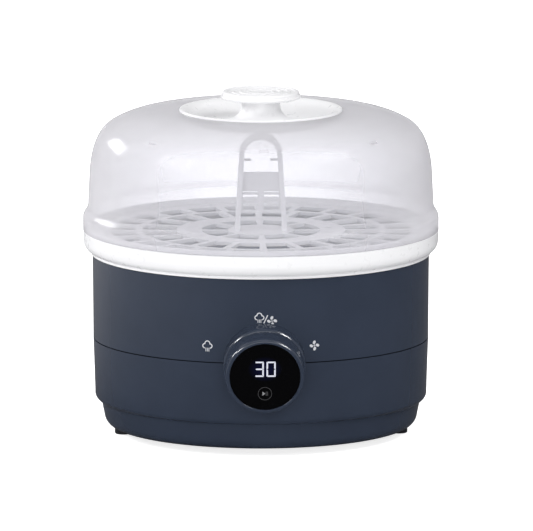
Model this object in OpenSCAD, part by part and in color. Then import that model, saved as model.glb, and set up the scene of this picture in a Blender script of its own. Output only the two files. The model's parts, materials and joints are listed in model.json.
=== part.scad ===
// Bottle sterilizer and dryer. A navy base holds the steam heater, the hot-air unit and the
// control dial; a white accessory tray and a clear dome stand on it.
// Millimetres. Origin on the body's axis at the height of the feet, +Z up, the dial faces -Y.

/* [Body] */
// Outer radius of the body at the seam between its two shells
body_r = 121.3; // [105:0.1:150]
// Wall thickness of the moulded shells
wall = 2.6; // [2:0.1:3.2]
// Height of the rubber feet
foot_h = 5; // [3:0.5:9]
// Height of the bottom pan
pan_h = 19; // [15:0.5:25]
// Height of the lower shell, up to the seam
lower_h = 45.7; // [40:0.1:60]
// Height of the upper shell, from the seam up to the tray
upper_h = 61.3; // [50:0.1:75]
// Height of the open groove at the seam
seam_gap = 0.8; // [0.4:0.1:1.2]
// Height of the machinery bay under the steam chamber
bay_h = 42; // [40:0.5:50]

/* [Tray and lid] */
// Height of the white tray rim
rim_h = 17.4; // [14:0.1:21]
// Height of the dome above the tray rim
dome_h = 86.5; // [72:0.1:104]
// Wall thickness of the dome
dome_wall = 2.2; // [1.6:0.1:2.6]
// Outer radius of the handle dish in the top of the lid
dish_r = 59; // [50:0.5:68]
// Radius of the round lid knob
knob_r = 29.3; // [24:0.1:34]
// Height of the arch handle above the tray floor
arch_h = 70.3; // [60:0.1:74]
// Outer width of the arch handle at its round top
arch_w = 31; // [26:0.5:37]

/* [Dial] */
// Radius of the turning ring where it meets its collar
dial_r = 29; // [24.5:0.1:34.8]
// Distance from the body to the front edge of the ring, along the dial's axis
dial_len = 24.5; // [21:0.1:29.4]
// Downward tilt of the dial, in degrees
dial_tilt = 12; // [6:0.5:14]
// Depth behind the body wall that is kept free for the dial's inner parts
dial_room = 23; // [20:0.5:28]

/* [Fits] */
// Gap between pieces that are fixed to each other
seat = 0.05; // [0.02:0.01:0.1]
// Running clearance between the ring and its sleeve, on the radius
running = 0.06; // [0.03:0.01:0.1]
// Gap around pieces that lift or slide apart
loose = 0.7; // [0.4:0.1:1]

/* [Hidden] */
$fn = 96;
eps = 0.01;

// Heights of the stack
pan_floor = foot_h + wall;
pan_top = foot_h + pan_h;
seam_z = pan_top + lower_h;
rim_z = seam_z + upper_h;
rim_top = rim_z + rim_h;
dome_top = rim_top + dome_h;
liner_z = pan_floor + bay_h;
liner_floor = liner_z + wall;
tray_wall = 2.4;
tray_floor = rim_top - 1;
tray_under = tray_floor - tray_wall;

// Radii of the body
pan_r = body_r - 6;
pan_fillet = 9;
bend_r = 5;
shoulder_r = body_r - 1.3;
skirt_r = body_r + 7.4;
tray_r = skirt_r - 0.2;
liner_out = body_r - wall - dial_room;
liner_in = liner_out - wall;
ledge_r = body_r - wall - 8;

navy = [0.22, 0.25, 0.31];
white = [0.95, 0.95, 0.96];
clear = [0.9, 0.9, 0.94, 0.35];
steel = [0.75, 0.76, 0.78];
black = [0.08, 0.08, 0.09];

// ---- Outlines ----

function arc(centre, r, from, to, steps = 8) =
    [for (i = [0:steps]) centre + r * [cos(from + (to - from) * i / steps), sin(from + (to - from) * i / steps)]];

function bezier(a, b, c, d, steps = 12) =
    [for (i = [1:steps]) let (t = i / steps, s = 1 - t)
        s * s * s * a + 3 * s * s * t * b + 3 * s * t * t * c + t * t * t * d];

function reverse(path) = [for (i = [len(path) - 1:-1:0]) path[i]];

function unit(v) = v / norm(v);

// The path moved sideways by t, to the left of its direction
function inset(path, t) = [
    for (i = [0:len(path) - 1])
        let (
            before = path[max(i - 1, 0)],
            after = path[min(i + 1, len(path) - 1)],
            along = unit(after - before)
        )
        path[i] + t * [-along[1], along[0]]
];

module revolve(path) { rotate_extrude($fn = 180) polygon(path); }

module tube(r_out, r_in, z0, z1) {
    translate([0, 0, z0]) difference() {
        cylinder(r = r_out, h = z1 - z0);
        translate([0, 0, -eps]) cylinder(r = r_in, h = z1 - z0 + 2 * eps);
    }
}

module rod(r, z0, z1) { translate([0, 0, z0]) cylinder(r = r, h = z1 - z0); }

module block(x0, x1, y0, y1, z0, z1) {
    translate([x0, y0, z0]) cube([x1 - x0, y1 - y0, z1 - z0]);
}

// count copies turned about the axis, the first at angle start
module around(count, start = 0) {
    for (i = [0:count - 1]) rotate([0, 0, start + i * 360 / count]) children();
}

// A square wire of width w along points that are joined parallel to the axes
module route(points, w) {
    for (i = [0:len(points) - 2]) {
        low = [for (k = [0:2]) min(points[i][k], points[i + 1][k]) - w / 2];
        high = [for (k = [0:2]) max(points[i][k], points[i + 1][k]) + w / 2];
        translate(low) cube(high - low);
    }
}

// A window in a flat ring, between two radii and two angles
module arc_window(r_in, r_out, angle, z0, z1) {
    translate([0, 0, z0]) rotate([0, 0, -angle / 2])
        rotate_extrude(angle = angle, $fn = 120) translate([r_in, 0]) square([r_out - r_in, z1 - z0]);
}

// ---- Body ----

lower_path = concat(
    arc([shoulder_r - bend_r, pan_top + bend_r + 0.2], bend_r, -75, -8, 6),
    [[body_r, seam_z - seam_gap / 2]]
);
upper_top_r = body_r + 0.5;
upper_path = [[body_r, seam_z + seam_gap / 2], [upper_top_r, rim_z]];

// The solid inside the body's outer surface, grown by g
module body_envelope(g) {
    path = inset(concat(lower_path, upper_path), -g);
    revolve(concat([[0, pan_top - g]], path, [[0, rim_z]]));
}

boss_r = 4;
boss_ring = pan_r - 17;
boss_count = 4;
pan_screw_r = 1.6;
pan_screw_head = 3;

module at_bosses() { around(boss_count, 45) translate([boss_ring, 0, 0]) children(); }

// Feet: one on each side, one at the back and one set in under the front
foot_r = 6.5;
foot_stem_r = 3;
foot_places = [
    [pan_r - 15.8, -10], [-(pan_r - 15.8), -10],
    [0, -(pan_r - 47)], [0, pan_r - 18]
];

module at_feet() { for (p = foot_places) translate([p[0], p[1], 0]) children(); }

vent_slot = [3, 26];
vent_pitch = 6.5;
vent_count = 7;

module bottom_pan() {
    side = concat(arc([pan_r - pan_fillet - 2, foot_h + pan_fillet], pan_fillet, -90, -5, 8),
        [[pan_r, pan_top - 1.2], [pan_r, pan_top]]);
    color(navy) difference() {
        revolve(concat([[0, foot_h]], side, reverse(inset(side, wall)), [[0, pan_floor]]));
        at_bosses() {
            rod(pan_screw_r + 0.2, 0, pan_floor + 1);
            rod(pan_screw_head + 0.3, 0, foot_h + 1.4);
        }
        at_feet() rod(foot_stem_r + seat, 0, pan_floor + 1);
        // Air slots under the blower
        rotate([0, 0, duct_angle]) for (i = [0:vent_count - 1])
            translate([blower_x + (i - (vent_count - 1) / 2) * vent_pitch, 0, foot_h + wall / 2])
                cube([vent_slot[0], vent_slot[1], 2 * wall], center = true);
    }
}

module rubber_feet() {
    edge = 1;
    color(black) at_feet() {
        revolve(concat([[0, 0]], arc([foot_r - edge, edge], edge, -90, 0, 4), [[foot_r, foot_h], [0, foot_h]]));
        rod(foot_stem_r, foot_h - eps, pan_floor + 1.5);
    }
}

module pan_screws() {
    color(steel) at_bosses() {
        rod(pan_screw_head, foot_h + 1.4 - 1.2, foot_h + 1.4);
        rod(pan_screw_r, foot_h + 1.4 - eps, pan_floor + 12);
    }
}

boss_top = pan_top + 5;
inlet_size = [27, 19.6];
inlet_z = (pan_top + seam_z) / 2 - 3;
inlet_face = body_r + 0.6;
inlet_flange = [35, 27, 2];
filter_angle = 52;
filter_size = [54, 28];
filter_z = (pan_top + seam_z) / 2 - 1;
filter_depth = 14;
filter_wall = 1.6;

// The slide-out filter faces the back right; its own x points outward
module at_filter() { rotate([0, 0, filter_angle]) translate([0, 0, filter_z]) children(); }

module filter_block(gap, x0, x1) {
    w = filter_size[0] / 2 - gap;
    h = filter_size[1] / 2 - gap;
    block(x0, x1, -w, w, -h, h);
}

module lower_shell() {
    inner = reverse(inset(lower_path, wall));
    lip_r = pan_r - wall - 0.8;
    profile = concat([[lip_r, pan_top], [lower_path[0][0] - 0.3, pan_top]], lower_path, inner, [[lip_r, pan_top + wall]]);
    color(navy) difference() {
        union() {
            revolve(profile);
            at_bosses() {
                rod(boss_r, pan_floor, boss_top);
                block(0, lip_r - boss_ring + 2, -1, 1, pan_top, boss_top - 2);
            }
            // Flat pad behind the power inlet's flange
            intersection() {
                block(-inlet_flange[0] / 2 - 2, inlet_flange[0] / 2 + 2, body_r - 9, inlet_face,
                    inlet_z - inlet_flange[1] / 2 - 1, inlet_z + inlet_flange[1] / 2 + 1);
                tube(body_r + 4, body_r - wall - 3, pan_top, seam_z);
            }
        }
        at_bosses() rod(pan_screw_r + seat, pan_floor - 1, boss_top - 4);
        at_dial() rod(dial_hole_r, -dial_room, dial_len);
        at_filter() filter_block(0, body_r - filter_depth, body_r + 9);
        block(-inlet_size[0] / 2 - seat, inlet_size[0] / 2 + seat, body_r - 15, body_r + 9,
            inlet_z - inlet_size[1] / 2 - seat, inlet_z + inlet_size[1] / 2 + seat);
    }
}

tongue_h = 4;
tongue_w = 2;
liner_screw_count = 4;
liner_screw_ring = (ledge_r + body_r - wall) / 2;

module at_liner_screws() { around(liner_screw_count, 45) translate([liner_screw_ring, 0, 0]) children(); }

module upper_shell() {
    in_r = body_r - wall;
    tongue_out = in_r - 0.5;
    profile = [
        [body_r, seam_z + seam_gap / 2], [upper_top_r, rim_z - 0.6], [upper_top_r - 0.6, rim_z],
        [upper_top_r - wall, rim_z], [in_r + 0.4, rim_z - wall], [ledge_r, rim_z - wall],
        [ledge_r, rim_z - 2 * wall], [in_r, rim_z - 2 * wall - 4], [in_r, seam_z + tongue_h],
        [tongue_out - tongue_w, seam_z + tongue_h - 1], [tongue_out - tongue_w, seam_z - tongue_h],
        [tongue_out, seam_z - tongue_h], [tongue_out, seam_z + seam_gap / 2]
    ];
    color(navy) difference() {
        revolve(profile);
        at_dial() rod(dial_hole_r, -dial_room, dial_len);
        at_liner_screws() rod(1.3, rim_z - 2 * wall - 3, rim_z);
    }
}

// ---- Steam chamber ----

plate_r = 46;
plate_hole_r = 42;
plate_seal_h = 1.2;
plate_z = liner_floor + plate_seal_h;
plate_t = 1.2;
spreader_r = 38;
spreader_h = 3;
element_r = 29;
element_w = 7;
thermostat_r = 8;
thermostat_h = 9;
liner_fillet = 12;

module chamber_liner() {
    outer = concat([[plate_hole_r, liner_z]],
        arc([liner_out - liner_fillet, liner_z + liner_fillet], liner_fillet, -90, 0, 8),
        [[liner_out, rim_z - wall], [body_r - wall - 0.3, rim_z - wall], [body_r - wall - 0.3, rim_z]]);
    inner = concat([[liner_in + 1.5, rim_z], [liner_in, rim_z - 1.5]],
        reverse(arc([liner_out - liner_fillet, liner_z + liner_fillet], liner_fillet - wall, -90, 0, 8)),
        [[plate_hole_r, liner_floor]]);
    color([0.36, 0.42, 0.52]) difference() {
        revolve(concat(outer, inner));
        at_liner_screws() rod(1.9, rim_z - 2 * wall, rim_z + 1);
        at_liner_screws() rod(3.2, rim_z - 1.3, rim_z + 1);
        // Outlet for the hot air, high on the chamber's wall
        rotate([0, 0, duct_angle])
            block(liner_in - 5, liner_out + 5, -outlet_w / 2, outlet_w / 2, outlet_z0, outlet_z1);
    }
}

module liner_screws() {
    color(steel) at_liner_screws() {
        rod(3, rim_z - 1.3, rim_z - 0.2);
        rod(1.25, rim_z - 2 * wall - 2, rim_z - 1.3 + eps);
    }
}

// Shallow dish that boils the water, with a raised edge
module heating_plate() {
    path = [[0, plate_z], [plate_hole_r - 6, plate_z], [plate_hole_r - 3, plate_z + 1.6], [plate_r, plate_z + 1.6]];
    top = [for (p = reverse(path)) p + [0, plate_t]];
    color(steel) {
        revolve(concat(path, top));
        tube(plate_r, plate_r - 3, plate_z + eps, plate_z + 1.6 + eps);
    }
}

module plate_seal() { color([0.8, 0.8, 0.82]) tube(plate_r - seat, plate_hole_r + 0.2, liner_floor, plate_z); }

module heat_spreader() { color(steel) rod(spreader_r, plate_z - spreader_h, plate_z); }

// Tubular element brazed under the spreader, open at the front for its terminals
module heating_element() {
    z0 = plate_z - spreader_h - element_w;
    color([0.55, 0.55, 0.57]) {
        translate([0, 0, z0]) rotate([0, 0, -70])
            rotate_extrude(angle = 320) translate([element_r - element_w / 2, 0]) square(element_w);
        for (a = [-70, 250]) rotate([0, 0, a]) translate([element_r, 0, 0]) rod(2, z0 - 8, z0 + 2);
    }
}

module thermostat() {
    top = plate_z - spreader_h;
    color(black) {
        rod(thermostat_r, top - thermostat_h, top);
        for (s = [-1, 1]) translate([s * 4.5, 0, 0]) block(-0.4, 0.4, -3, 3, top - thermostat_h - 6, top - thermostat_h + 1);
    }
}

module thermal_fuse() {
    top = plate_z - spreader_h;
    fuse_r = 2.2;
    color([0.85, 0.8, 0.6]) translate([0, 17, top - fuse_r]) rotate([0, 90, 0]) rod(fuse_r, -7, 7);
}

// ---- Hot-air unit ----
// It lies in the bay at the back; its own x points outward, at duct_angle.

duct_angle = 110;
blower_x = 50;
blower_r = 31;
blower_z0 = pan_floor + 6;
blower_h = 16;
blower_wall = 1.6;
wheel_r = 26;
wheel_z0 = blower_z0 + blower_wall + 1.4;
wheel_z1 = blower_z0 + blower_h - 1.4;
inlet_hole_r = 18;
shaft_r = 1.5;
motor_r = 12;
motor_h = 12;
duct_out = body_r - wall - 10.7;
duct_in = liner_out + 2;
duct_w = 28;
outlet_w = 22;
outlet_z0 = rim_z - 33;
outlet_z1 = rim_z - 19;
duct_top = outlet_z1 + 2 + blower_wall;

module at_duct() { rotate([0, 0, duct_angle]) children(); }

module at_blower() { at_duct() translate([blower_x, 0, 0]) children(); }

module blower_housing() {
    z1 = blower_z0 + blower_h;
    channel = duct_w / 2 - 2;
    color([0.3, 0.3, 0.32]) difference() {
        union() {
            at_blower() rod(blower_r, blower_z0, z1);
            at_duct() block(blower_x, duct_in - seat, -channel, channel, blower_z0, z1);
            at_blower() around(3, 60) translate([blower_r - 4, 0, 0]) rod(3, pan_floor, blower_z0 + 1);
        }
        at_blower() rod(blower_r - blower_wall, blower_z0 + blower_wall, z1 + 1);
        at_blower() rod(inlet_hole_r, blower_z0 - 1, z1);
        at_duct() block(blower_x, duct_in + 1, -channel + blower_wall, channel - blower_wall, blower_z0 + blower_wall, z1 + 1);
    }
}

module blower_cover() {
    z0 = blower_z0 + blower_h;
    channel = duct_w / 2 - 2;
    color([0.35, 0.35, 0.37]) difference() {
        union() {
            at_blower() rod(blower_r, z0, z0 + blower_wall);
            at_duct() block(blower_x, duct_in - seat, -channel, channel, z0, z0 + blower_wall);
        }
        at_blower() rod(shaft_r + 2, z0 - 1, z0 + 3);
    }
}

module blower_motor() {
    z0 = blower_z0 + blower_h + blower_wall;
    color(steel) at_blower() difference() {
        union() {
            rod(motor_r, z0, z0 + motor_h);
            rod(4, z0 + motor_h - eps, z0 + motor_h + 2);
        }
        rod(shaft_r + running, z0 - 1, z0 + motor_h);
    }
}

module blower_shaft() { color(steel) at_blower() rod(shaft_r, wheel_z0 + 1, blower_z0 + blower_h + blower_wall + motor_h - 1); }

// Drum wheel: a back disc with a hub, a ring of blades and a stiffening ring
module blower_wheel() {
    blades = 24;
    color([0.2, 0.2, 0.22]) at_blower() difference() {
        union() {
            rod(wheel_r, wheel_z1 - 1.4, wheel_z1);
            rod(4.5, wheel_z0 + 2, wheel_z1);
            around(blades) block(wheel_r - 6, wheel_r - 0.5, -0.5, 0.5, wheel_z0, wheel_z1 - 1);
            tube(wheel_r, wheel_r - 2, wheel_z0, wheel_z0 + 1.4);
        }
        rod(shaft_r, wheel_z0 - 1, wheel_z1 + 1);
    }
}

// Upright duct between the liner and the body wall, open into the chamber at its top
module air_duct() {
    w = duct_w / 2;
    channel = w - 2 - blower_wall;
    color([0.3, 0.3, 0.32]) at_duct() difference() {
        block(duct_in, duct_out, -w, w, blower_z0, duct_top);
        block(duct_in + blower_wall, duct_out - blower_wall, -w + blower_wall, w - blower_wall,
            blower_z0 + blower_wall, duct_top - blower_wall);
        block(duct_in - 1, duct_in + 3, -channel, channel, blower_z0 + blower_wall, blower_z0 + blower_h - eps);
        block(duct_in - 1, duct_in + 3, -outlet_w / 2, outlet_w / 2, outlet_z0, outlet_z1);
    }
}

// Finned ceramic heater in the duct
module air_heater() {
    z0 = blower_z0 + blower_h + 6;
    x0 = duct_in + blower_wall + seat;
    x1 = duct_out - blower_wall - seat;
    w = duct_w / 2 - blower_wall - seat;
    fins = 9;
    pitch = 2 * (w - 1) / (fins - 1);
    color([0.7, 0.7, 0.72]) at_duct() {
        for (z = [z0, z0 + 24]) block(x0, x1, -w, w, z, z + 2);
        for (i = [0:fins - 1]) translate([0, -(w - 1) + i * pitch, 0]) block(x0 + 1, x1 - 1, -0.5, 0.5, z0 + 1, z0 + 25);
    }
}

module air_outlet_grille() {
    slats = 4;
    w = outlet_w / 2 - seat;
    h = outlet_z1 - outlet_z0 - 2 * seat;
    frame = 1.4;
    x0 = liner_in + 0.9;
    x1 = duct_in - seat;
    color(white) at_duct() translate([0, 0, outlet_z0 + seat]) {
        difference() {
            block(x0, x1, -w, w, 0, h);
            block(x0 - 1, x1 + 1, -w + frame, w - frame, frame, h - frame);
        }
        for (i = [1:slats - 1]) block(x0, x1, -w + 0.5, w - 0.5, i * h / slats - 0.6, i * h / slats + 0.6);
    }
}

// Fixed box behind the filter's window in the lower shell
filter_back = liner_out + 2;

module filter_box() {
    color([0.3, 0.3, 0.32]) at_filter() difference() {
        intersection() {
            filter_block(-filter_wall - 0.2, filter_back, body_r);
            translate([0, 0, -filter_z]) rotate([0, 0, -filter_angle]) body_envelope(-wall - 0.2);
        }
        filter_block(-0.2, filter_back + filter_wall, body_r + 9);
        filter_block(5, filter_back - 1, body_r);
    }
}

// Curved cover with an air grille, which carries the filter in a shallow frame
module filter_cover() {
    gap = 0.35;
    frame = 1.6;
    slots = 6;
    slot_pitch = 3.6;
    back = filter_back + filter_wall + 3;
    color(navy) difference() {
        intersection() {
            at_filter() filter_block(gap, back, body_r + 9);
            body_envelope(0);
        }
        difference() {
            at_filter() filter_block(gap + frame, back - 1, body_r + 9);
            difference() {
                body_envelope(1);
                body_envelope(-wall);
            }
        }
        at_filter() for (i = [0:slots - 1])
            block(body_r - 20, body_r + 9, -filter_size[0] / 2 + 9, filter_size[0] / 2 - 9,
                (i - (slots - 1) / 2) * slot_pitch - 0.8, (i - (slots - 1) / 2) * slot_pitch + 0.8);
        // Finger notch at the top edge
        at_filter() translate([body_r + 5, 0, filter_size[1] / 2]) rotate([0, 90, 0]) rod(5, -6, 4);
    }
}

module air_filter() {
    gap = 0.35 + 1.6 + 0.3;
    back = filter_back + filter_wall + 3;
    pleats = 12;
    pitch = (filter_size[0] - 2 * gap) / pleats;
    face = body_r - wall - 9;
    color([0.92, 0.92, 0.9]) at_filter() difference() {
        filter_block(gap, back, face);
        for (i = [0:pleats - 2]) translate([0, -(filter_size[0] / 2 - gap) + (i + 1) * pitch, 0])
            block(back - 1, face - 2, -0.7, 0.7, -filter_size[1], filter_size[1]);
    }
}

// ---- Electrics ----

board_size = [84, 46];
board_y = -62;
board_z = pan_floor + 6;
terminal_h = 9;
terminal_top = board_z + 1.6 + terminal_h;

module power_board() {
    x = board_size[0] / 2;
    y = board_size[1] / 2;
    color([0.1, 0.35, 0.2]) translate([0, board_y, 0]) {
        block(-x, x, -y, y, board_z, board_z + 1.6);
        for (sx = [-1, 1], sy = [-1, 1]) translate([sx * (x - 4), sy * (y - 4), 0]) rod(2.5, pan_floor, board_z + eps);
    }
}

module board_components() {
    z = board_z + 1.6;
    color([0.15, 0.15, 0.17]) translate([0, board_y, 0]) {
        block(-36, -14, -18, 2, z, z + 17);
        block(18, 37, -18, -3, z, z + 15);
        for (x = [-6, 6]) translate([x, -11, 0]) rod(5, z, z + 16);
        block(10, 36, 8, 18, z, z + terminal_h);
        block(-30, -8, 9, 18, z, z + terminal_h);
        block(-4, 5, 4, 15, z, z + 3);
    }
}

// Appliance inlet: a flange outside and a shrouded socket inside
module power_inlet() {
    back = inlet_face - 20;
    w = inlet_size[0] / 2;
    h = inlet_size[1] / 2;
    fw = inlet_flange[0] / 2;
    fh = inlet_flange[1] / 2;
    color(black) translate([0, 0, inlet_z]) difference() {
        union() {
            block(-w, w, back, inlet_face + eps, -h, h);
            block(-fw, fw, inlet_face, inlet_face + inlet_flange[2], -fh, fh);
        }
        block(-w + 1.8, w - 1.8, back + 3, inlet_face + 9, -h + 1.8, h - 1.8);
        translate([0, 0, -inlet_z]) pin_block(seat);
    }
}

pin_places = [[-7, 2], [0, -2], [7, 2]];
pin_end = inlet_face - 28;

module pin_block(gap) {
    for (p = pin_places) translate([p[0], 0, inlet_z + p[1]])
        block(-1 - gap, 1 + gap, pin_end, inlet_face - 6, -2 - gap, 2 + gap);
}

module inlet_pins() { color(steel) pin_block(0); }

module mains_wires() {
    w = 2.2;
    floor_z = pan_floor + 0.3 + w / 2;
    colors = [[0.45, 0.28, 0.15], [0.3, 0.6, 0.2], [0.15, 0.3, 0.65]];
    for (i = [0:2]) {
        start = [pin_places[i][0], pin_end - 0.1 - w / 2, inlet_z + pin_places[i][1]];
        turn_y = start[1] - 8 + 4 * i;
        x = 11 + 4 * i;
        end_y = board_y + 13;
        color(colors[i]) route([
            start, [start[0], start[1], floor_z], [start[0], turn_y, floor_z], [x, turn_y, floor_z],
            [x, board_y + board_size[1] / 2 + 3, floor_z], [x, board_y + board_size[1] / 2 + 3, terminal_top + w],
            [x, end_y, terminal_top + w], [x, end_y, terminal_top + w / 2]
        ], w);
    }
}

module heater_wires() {
    w = 2;
    tip_z = plate_z - spreader_h - element_w - 8 - 0.1 - w / 2;
    tip_y = -element_r * sin(70);
    end_y = board_y + 13;
    for (s = [-1, 1]) {
        tip_x = s * element_r * cos(70);
        x = s * 25;
        color([0.7, 0.15, 0.12]) route([
            [tip_x, tip_y, tip_z], [tip_x, tip_y, tip_z - 3], [x, tip_y, tip_z - 3],
            [x, end_y, tip_z - 3], [x, end_y, terminal_top + w / 2]
        ], w);
    }
}

// Flat cable from the display down to the power board
module display_cable() {
    w = 5;
    drop_y = -(liner_out + 6.5);
    reach = (body_r + drop_y + 2 * sin(dial_tilt)) / cos(dial_tilt);
    top = dial_z + reach * sin(dial_tilt) + 4;
    color([0.85, 0.85, 0.87]) {
        at_dial() block(-w, w, 1.5, 2.5, -reach, board_w0 - seat);
        block(-w - 0.5, w + 0.5, drop_y - 0.7, drop_y + 0.7, board_z + 6, top);
        block(-w, w, drop_y, board_y - 19, board_z + 6.2, board_z + 7.2);
    }
}

// ---- Dial ----
// Its own z is the axis, pointing out of the body, and y points up.

dial_z = seam_z - 0.8;
sleeve_r = dial_r - 4.4;
sleeve_wall = 2;
lens_r = dial_r - 3.9;
lens_t = 1.6;
lens_face = dial_len - 0.9;
flange_t = 1.4;
flange_w1 = lens_face - lens_t;
collar_r = dial_r + 0.7;
collar_front = 7.2;
dial_gap = 0.6;
spigot_r = dial_r - 2.1;
spigot_back = -12;
dial_hole_r = spigot_r + 0.3;
track_r = (sleeve_r + dial_r) / 2 + 0.1;
board_w1 = flange_w1 - 7;
board_w0 = board_w1 - 1.6;
magnet_r = 1.2;
ball_r = 1.3;

module at_dial() { translate([0, -body_r, dial_z]) rotate([90 + dial_tilt, 0, 0]) children(); }

// Fixed collar: a saddle on the body wall with a spigot through it
module dial_collar() {
    edge = 2.2;
    color(navy) difference() {
        union() {
            difference() {
                at_dial() revolve(concat([[0, spigot_back], [collar_r, spigot_back]],
                    arc([collar_r - edge, collar_front - edge], edge, 0, 90, 5), [[0, collar_front]]));
                body_envelope(seat);
            }
            at_dial() rod(spigot_r, spigot_back, collar_front - 1);
        }
        at_dial() rod(sleeve_r + seat, spigot_back - 1, collar_front + 1);
        at_dial() translate([0, track_r, 0]) rod(ball_r + 0.1, collar_front - 5, collar_front + 1);
    }
}

// Ring that clamps the collar from inside; its front follows the wall
module dial_retainer() {
    color([0.3, 0.3, 0.32]) intersection() {
        at_dial() tube(spigot_r + 4.5, spigot_r + seat, spigot_back, collar_front);
        body_envelope(-wall - tongue_w - 0.8);
    }
}

// Fixed sleeve: the ring turns on it and the display sits in it
module dial_sleeve() {
    color([0.15, 0.16, 0.18]) at_dial() difference() {
        union() {
            rod(sleeve_r, spigot_back, flange_w1);
            rod(lens_r, flange_w1 - flange_t, flange_w1);
        }
        rod(sleeve_r - sleeve_wall, spigot_back - 1, flange_w1 + 1);
    }
}

// Turning ring, with a shallow pointer notch at the top and three detent dimples
module dial_ring() {
    back = collar_front + dial_gap;
    edge = 1.6;
    back_edge = 1.2;
    front_r = dial_r - 1;
    lip_r = lens_r + 0.35;
    shelf = flange_w1 - flange_t - 0.3;
    profile = concat(
        [[sleeve_r + running, back]],
        arc([dial_r - back_edge, back + back_edge], back_edge, -90, 0, 6),
        [[front_r + 0.3, dial_len - edge * 1.5]],
        arc([front_r - edge + 0.1, dial_len - edge], edge, 20, 90, 6),
        [[lip_r + 0.2, dial_len], [lip_r, dial_len - 0.3], [lip_r, shelf], [sleeve_r + running, shelf]]
    );
    color(navy) at_dial() difference() {
        revolve(profile);
        block(-0.5, 0.5, dial_r - 0.7, dial_r + 1, back + 3, back + 8);
        translate([0, -track_r, 0]) rod(magnet_r + seat, back - 1, back + 3);
        for (a = [30, 90, 150]) rotate([0, 0, a]) translate([track_r, 0, back]) sphere(r = 1.1, $fn = 32);
    }
}

module dial_magnet() {
    back = collar_front + dial_gap;
    color(steel) at_dial() translate([0, -track_r, 0]) rod(magnet_r, back + 0.4, back + 2.9);
}

module detent_ball() {
    color(steel) at_dial() translate([0, track_r, collar_front + 0.3 - ball_r]) sphere(r = ball_r, $fn = 48);
}

// Closed coils, drawn as rings that overlap
module coil_stack(r, wire_r, z0, z1) {
    count = round((z1 - z0 - 2 * wire_r) / (1.5 * wire_r));
    step = (z1 - z0 - 2 * wire_r) / count;
    for (i = [0:count]) translate([0, 0, z0 + wire_r + i * step])
        rotate_extrude($fn = 32) translate([r - wire_r, 0]) circle(r = wire_r, $fn = 16);
}

module detent_spring() {
    color(steel) at_dial() translate([0, track_r, 0]) coil_stack(ball_r, 0.25, collar_front - 4.9, collar_front - 2.35);
}

module display_lens() { color(black) at_dial() rod(lens_r, flange_w1, lens_face); }

module display_board() {
    color([0.1, 0.35, 0.2]) at_dial() rod(sleeve_r - sleeve_wall - 0.3, board_w0, board_w1);
}

module display_module() {
    x = 0.62 * lens_r;
    color(black) at_dial() block(-x, x, -1.5, 13.5, board_w1, flange_w1 - seat);
}

module touch_spring() {
    color(steel) at_dial() translate([0, -12.7, 0]) coil_stack(4, 0.45, board_w1, flange_w1 - seat);
}

module position_sensor() {
    color(black) at_dial() block(-2, 2, -0.72 * sleeve_r - 3, -0.72 * sleeve_r, board_w0 - 1.5, board_w0);
}

// ---- Rack, tray and handle ----

rack_z = liner_floor + 5;
rack_t = 2.4;
rack_r = liner_in - 5;
peg_ring = rack_r * 0.62;
peg_top = rim_z - 12;

module bottle_rack() {
    pegs = 6;
    color([0.72, 0.82, 0.9]) {
        difference() {
            rod(rack_r, rack_z, rack_z + rack_t);
            rod(12, rack_z - 1, rack_z + 5);
            around(12, 15) arc_window(rack_r * 0.72, rack_r * 0.92, 22, rack_z - 1, rack_z + 5);
            around(pegs, 30) arc_window(rack_r * 0.3, rack_r * 0.5, 34, rack_z - 1, rack_z + 5);
        }
        tube(rack_r, rack_r - 2, rack_z, rack_z + 8);
        around(pegs) translate([peg_ring, 0, 0]) revolve(concat([[0, rack_z + 1], [5.5, rack_z + 1], [4, peg_top - 4]],
            arc([0, peg_top - 4], 4, 0, 90, 6)));
        around(4, 45) translate([rack_r - 9.5, 0, 0]) rod(3.5, liner_floor, rack_z + 1);
    }
}

arch_top_r = arch_w / 2;
arch_base_w = arch_w + 7;
arch_bar = 3.5;
arch_depth = 11;
arch_top = tray_floor + arch_h;
peg_r = 2;
peg_x = arch_base_w / 2 - arch_bar / 2 - 0.4;

// Tray windows: inner radius, outer radius and number in each ring
window_rings = [[24, 43, 8], [61, 86, 20], [91, 109, 24]];
window_scale = tray_r / 128.5;
spoke_w = 5.5;

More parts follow.
